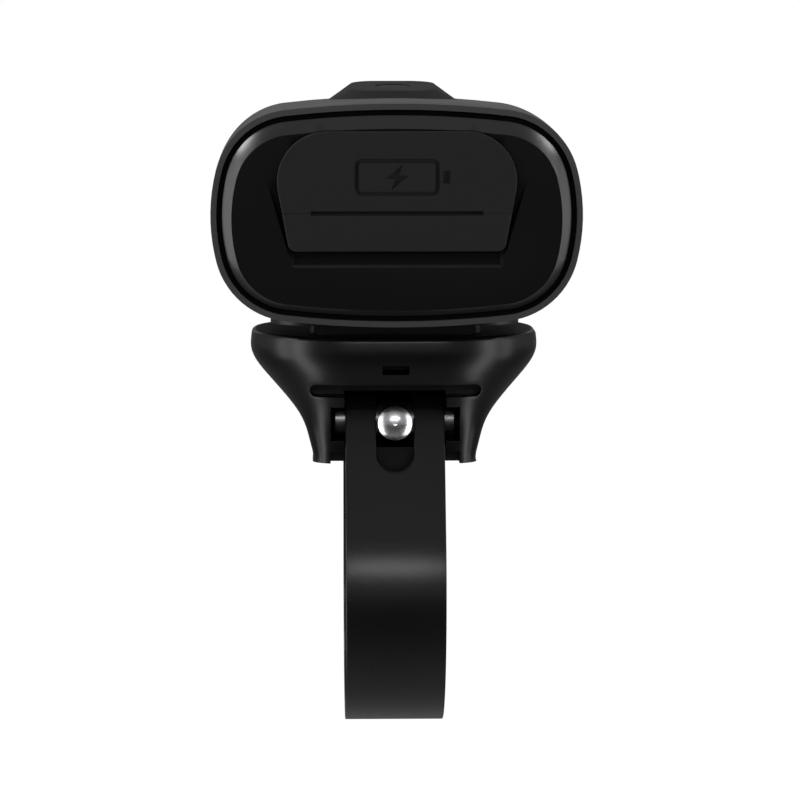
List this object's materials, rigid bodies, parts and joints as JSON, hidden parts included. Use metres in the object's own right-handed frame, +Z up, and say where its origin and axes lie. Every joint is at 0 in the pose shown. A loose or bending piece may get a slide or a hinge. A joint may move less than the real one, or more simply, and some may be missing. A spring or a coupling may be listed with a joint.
{
  "type": "bike headlight",
  "caption": "Bicycle headlight with a flared clamp base, a hinged steel band for the handlebar, a rubber charging flap, a top button and a slide-off lamp.",
  "frame": {"origin": "centre of the handlebar, in the middle of the clamp's width", "axes": "+X along the handlebar, to the right as seen from behind; +Y the way the beam points; +Z up"},
  "size_m": [0.0468, 0.0955, 0.0836],
  "materials": {
    "shell_plastic": "satin black with a very fine grain",
    "bezel_plastic": "satin black with a very fine grain",
    "cap_plastic": "fine black grain with a smoother bevel",
    "cover_rubber": "soft matt black rubber",
    "seal_rubber": "black seal rubber",
    "button_rubber": "matt charcoal rubber",
    "smoked_window": "smoked translucent window",
    "base_plastic": "satin black moulding",
    "foot_plastic": "satin black moulding",
    "latch_plastic": "black acetal",
    "knob_plastic": "black moulding with grip flutes",
    "pad_rubber": "grippy black rubber",
    "band_steel": "satin black powder coat on steel",
    "screw_steel": "polished steel",
    "washer_steel": "plain steel",
    "barrel_steel": "dark turned steel",
    "spring_steel": "spring steel",
    "port_metal": "plated steel",
    "board_resin": "green circuit board",
    "chip_plastic": "black component plastic",
    "lead_insulation": "red silicone insulation",
    "cell_wrap": "shrink wrap over a steel can",
    "link_nickel": "nickel strip",
    "cradle_plastic": "natural white plastic",
    "sink_aluminium": "machined aluminium",
    "led_board_metal": "white solder mask on aluminium",
    "led_phosphor": "yellow phosphor under a clear dome",
    "reflector_finish": "vacuum metallised plastic",
    "lens_clear": "clear polycarbonate"
  },
  "bodies": {
    "base": {"clamp_base": "base_plastic", "saddle_pad": "pad_rubber", "latch_spring": "spring_steel", "barrel_nut": "barrel_steel"},
    "strap": {"strap_band": "band_steel", "strap_liner": "pad_rubber"},
    "latch": {"latch_tongue": "latch_plastic"},
    "washer": {"knob_washer": "washer_steel"},
    "knob": {"clamp_knob": "knob_plastic", "clamp_screw": "screw_steel"},
    "button": {"button_cap": "button_rubber", "button_window": "smoked_window"},
    "flap": {"port_flap": "cover_rubber"},
    "light": {"rail_foot": "foot_plastic", "foot_screws": "screw_steel", "housing_shell": "shell_plastic", "rear_seal": "seal_rubber", "rear_cap": "cap_plastic", "port_cover": "cover_rubber", "charge_port_shell": "port_metal", "charge_port_tongue": "chip_plastic", "port_board": "board_resin", "port_leads": "lead_insulation", "battery_cell_left": "cell_wrap", "battery_cell_right": "cell_wrap", "cell_links": "link_nickel", "battery_cradle": "cradle_plastic", "battery_leads": "lead_insulation", "main_board": "board_resin", "board_parts": "chip_plastic", "tact_switch": "chip_plastic", "button_gasket": "seal_rubber", "heat_sink": "sink_aluminium", "led_board": "led_board_metal", "led_emitters": "led_phosphor", "reflector": "reflector_finish", "front_lens": "lens_clear", "lens_seal": "seal_rubber", "front_bezel": "bezel_plastic"}
  },
  "joints": [
    {"name": "light_release", "type": "slide", "parent": "base", "child": "light", "axis": [0, 1, 0], "range_m": [0, 0.03], "deforming": ["latch_tongue"]},
    {"name": "strap_swing", "type": "hinge", "parent": "base", "child": "strap", "pos_m": [0, -0.0056, 0.0221], "axis": [-1, 0, 0], "range_deg": [0, 70]},
    {"name": "latch_press", "type": "hinge", "parent": "base", "child": "latch", "pos_m": [0, -0.0098, 0.0294], "axis": [-1, 0, 0], "range_deg": [0, 4], "stiffness_Nm_per_rad": 1, "deforming": ["latch_spring"]},
    {"name": "knob_travel", "type": "slide", "parent": "base", "child": "washer", "axis": [0, 1, 0], "range_m": [0, 0.002]},
    {"name": "knob_turn", "type": "hinge", "parent": "washer", "child": "knob", "pos_m": [0, 0.0192, 0.0221], "axis": [0, 1, 0], "range_deg": [0, 1440]},
    {"name": "power_button", "type": "slide", "parent": "light", "child": "button", "axis": [0, 0, -1], "range_m": [0, 0.0005], "stiffness_N_per_m": 2000},
    {"name": "flap_open", "type": "hinge", "parent": "light", "child": "flap", "pos_m": [0, -0.0215, 0.04975], "axis": [-1, 0, 0], "range_deg": [0, 100]}
  ],
  "couplings": [
    {"joint": "knob_turn", "follows": "knob_travel", "rad_per_m": 12566}
  ]
}
